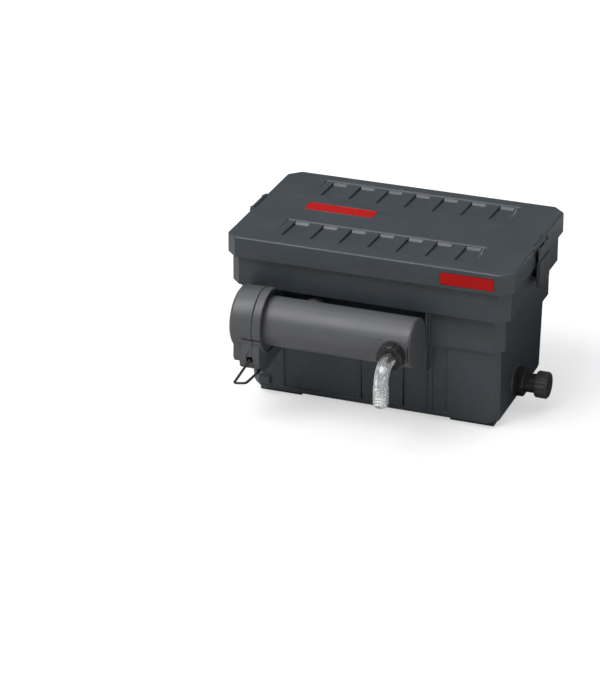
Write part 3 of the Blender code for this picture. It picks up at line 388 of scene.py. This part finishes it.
# ---- carried-over parts -------------------------------------------------------------------
def dress(name, finish, edge):
    """Give a part its finish, welded and softened edges, and even shading."""
    part = nodes[name]
    part.data.shade_smooth()
    part.material_slots[0].material = finish
    weld = part.modifiers.new("weld", "WELD")
    weld.merge_threshold = WELD_DISTANCE
    if edge:
        bevel = part.modifiers.new("edges", "BEVEL")
        bevel.width = edge
        bevel.segments = EDGE_SEGMENTS
        bevel.limit_method = "ANGLE"
        bevel.angle_limit = EDGE_ANGLE
        bevel.use_clamp_overlap = False
    normals = part.modifiers.new("even_shading", "WEIGHTED_NORMAL")
    normals.weight = NORMAL_WEIGHT
    normals.keep_sharp = False


def dress_parts():
    """Materials and edge radii for every part that keeps its modelled shape."""
    charcoal = moulded("charcoal_plastic", (0.034, 0.043, 0.051), 0.42, specular=0.5)
    dark = moulded("dark_plastic", (0.072, 0.074, 0.078), 0.42, specular=0.45)
    tube_grey = moulded("tube_plastic", (0.088, 0.090, 0.095), 0.43, grain=1300.0,
                        depth=0.00003, specular=0.4)
    black = moulded("black_plastic", (0.012, 0.012, 0.012), 0.38, grain=1200.0, dust=0.03)
    # painted light: a lighter copy of the black plastic for the drain cap, standing for the light
    # on its smooth front
    lit_cap_black = moulded("cap_plastic_painted_light", (0.028, 0.028, 0.028), 0.46, grain=1200.0, dust=0.08)
    white = moulded("lamp_white", (0.72, 0.72, 0.69), 0.35, grain=1400.0, depth=0.00003,
                    dust=0.02)
    seal = rubber("rubber")
    bright = steel("steel", (0.50, 0.50, 0.51))
    dark_wire = steel("dark_steel", (0.055, 0.055, 0.056))
    red = printed_red("red_mark")
    place = nodes["inlet_elbow"].matrix_world.inverted()
    # the elbow's painted highlights fade in below these heights
    painted_highlight_heights = [(place @ Vector((0.0, 0.0, height))).z for height in (HIGHLIGHT_FROM, HIGHLIGHT_TO)]
    elbow = clear("clear_plastic", (0.98, 0.99, 0.99), 0.05, 0.0002, 0.10, painted_highlight_heights)
    quartz = clear("quartz", (0.97, 0.98, 1.0), 0.02, 0.0001)

    for names, finish, edge in (
            (("container",), charcoal, 0.0009),
            (("lid",), charcoal, 0.0010),
            (("latch_left", "latch_right"), charcoal, 0.0005),
            (("uv_housing",), tube_grey, 0.0006),
            (("uv_end_cap",), dark, 0.0),
            (("uv_collar",), dark, 0.0009),
            (("uv_head_cover",), dark, 0.0009),
            (("inlet_partition", "outlet_partition", "support_grid", "media_basket"), black,
             0.0005),
            (("uv_outlet_nipple", "uv_outlet_nut", "union_nut", "drain_nipple",
              "drain_lock_nut", "outlet_spigot", "outlet_lock_nut", "sleeve_nut",
              "ballast", "cable_gland"), black, 0.0004),
            (("drain_cap",), lit_cap_black, 0.0004),
            (("lid_seal", "head_o_ring", "elbow_o_ring", "uv_outlet_seal", "drain_gasket",
              "drain_cap_seal", "outlet_gasket"), seal, 0.0),
            (("top_label", "front_label"), red, 0.0),
            (("latch_pin_left", "latch_pin_right", "bracket_screw_lower",
              "bracket_screw_upper"), bright, 0.0),
            (("head_bail",), dark_wire, 0.0),
            (("lamp_socket", "uv_lamp"), white, 0.0003),
            (("quartz_sleeve",), quartz, 0.0),
            (("inlet_elbow",), elbow, 0.0002)):
        for name in names:
            dress(name, finish, edge)


# ---- soft filter media --------------------------------------------------------------------
def add_piece(name, shape, finish, body, slot, *replaced):
    """Link a made piece, let it ride on its body and stand for the plain solids."""
    mesh = bpy.data.meshes.new(name)
    shape.to_mesh(mesh)
    shape.free()
    mesh.shade_smooth()
    mesh.materials.append(finish)
    piece = bpy.data.objects.new(name, mesh)
    bpy.context.scene.collection.objects.link(piece)
    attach(piece, body)
    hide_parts(*replaced)
    return piece


def rounded_block(low, high, cuts, radius):
    """A cube cut into a fine grid, its edges rounded and its faces fitted to a box."""
    shape = bmesh.new()
    bmesh.ops.create_cube(shape, size=2.0)
    bmesh.ops.subdivide_edges(shape, edges=shape.edges, cuts=cuts, use_grid_fill=True)
    half = (high - low) / 2
    middle = (high + low) / 2
    for vertex in shape.verts:
        point = Vector(vertex.co[axis] * half[axis] for axis in range(3))
        core = Vector(max(-half[axis] + radius, min(half[axis] - radius, point[axis]))
                      for axis in range(3))
        away = point - core
        if away.length > radius:
            point = core + away * (radius / away.length)
        vertex.co = middle + point
    bmesh.ops.recalc_face_normals(shape, faces=shape.faces)
    return shape


def make_foam(label, colour, pores, roughening):
    """A cut foam mat with slightly crowned sides and a coarse torn skin."""
    name = f"foam_{label}"
    low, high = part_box(name)
    inset = Vector(FOAM_INSET)
    shape = rounded_block(low + inset, high - inset, FOAM_CUTS, FOAM_EDGE)
    for vertex in shape.verts:
        ragged = noise.noise(vertex.co * pores * 0.8) + 0.5 * noise.noise(vertex.co * pores * 1.9)
        vertex.co += vertex.normal * roughening * ragged
    piece = add_piece(f"{name}_mat", shape, foam(name, colour, pores), "tub", name, name)
    smooth = piece.modifiers.new("fine_surface", "SUBSURF")
    smooth.levels = smooth.render_levels = 1


def make_media_bag():
    """A net bag of ceramic media: lumpy, sagging between its corners, gathered at one end."""
    low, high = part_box("media_bag")
    shape = rounded_block(low, high, BAG_CUTS, BAG_EDGE)
    middle, half = (low + high) / 2, (high - low) / 2
    for vertex in shape.verts:
        share = [(vertex.co[axis] - middle[axis]) / half[axis] for axis in range(3)]
        drawn_in = max(0.0, abs(share[1]) - BAG_NECK_FROM) / (1.0 - BAG_NECK_FROM)
        pinch = 1.0 - BAG_NECK * drawn_in
        sag = BAG_SAG * max(0.0, share[2]) * (0.35 + 0.65 * share[1] * share[1])
        lump = BAG_LUMP * noise.noise(vertex.co * BAG_LUMPS_PER_METRE)
        vertex.co.x = middle.x + (vertex.co.x - middle.x) * pinch * BAG_SLACK
        vertex.co.z -= sag
        vertex.co += vertex.normal * (lump - BAG_INSET)
    piece = add_piece("net_bag", shape, netting("net"), "tub", "net", "media_bag")
    smooth = piece.modifiers.new("fine_surface", "SUBSURF")
    smooth.levels = smooth.render_levels = 1


make_camera()
make_studio()
dress_parts()
make_foam("coarse", (0.030, 0.085, 0.190), 160.0, 0.0007)
make_foam("medium", (0.035, 0.150, 0.075), 240.0, 0.0005)
make_foam("fine", (0.060, 0.060, 0.062), 360.0, 0.0004)
make_media_bag()
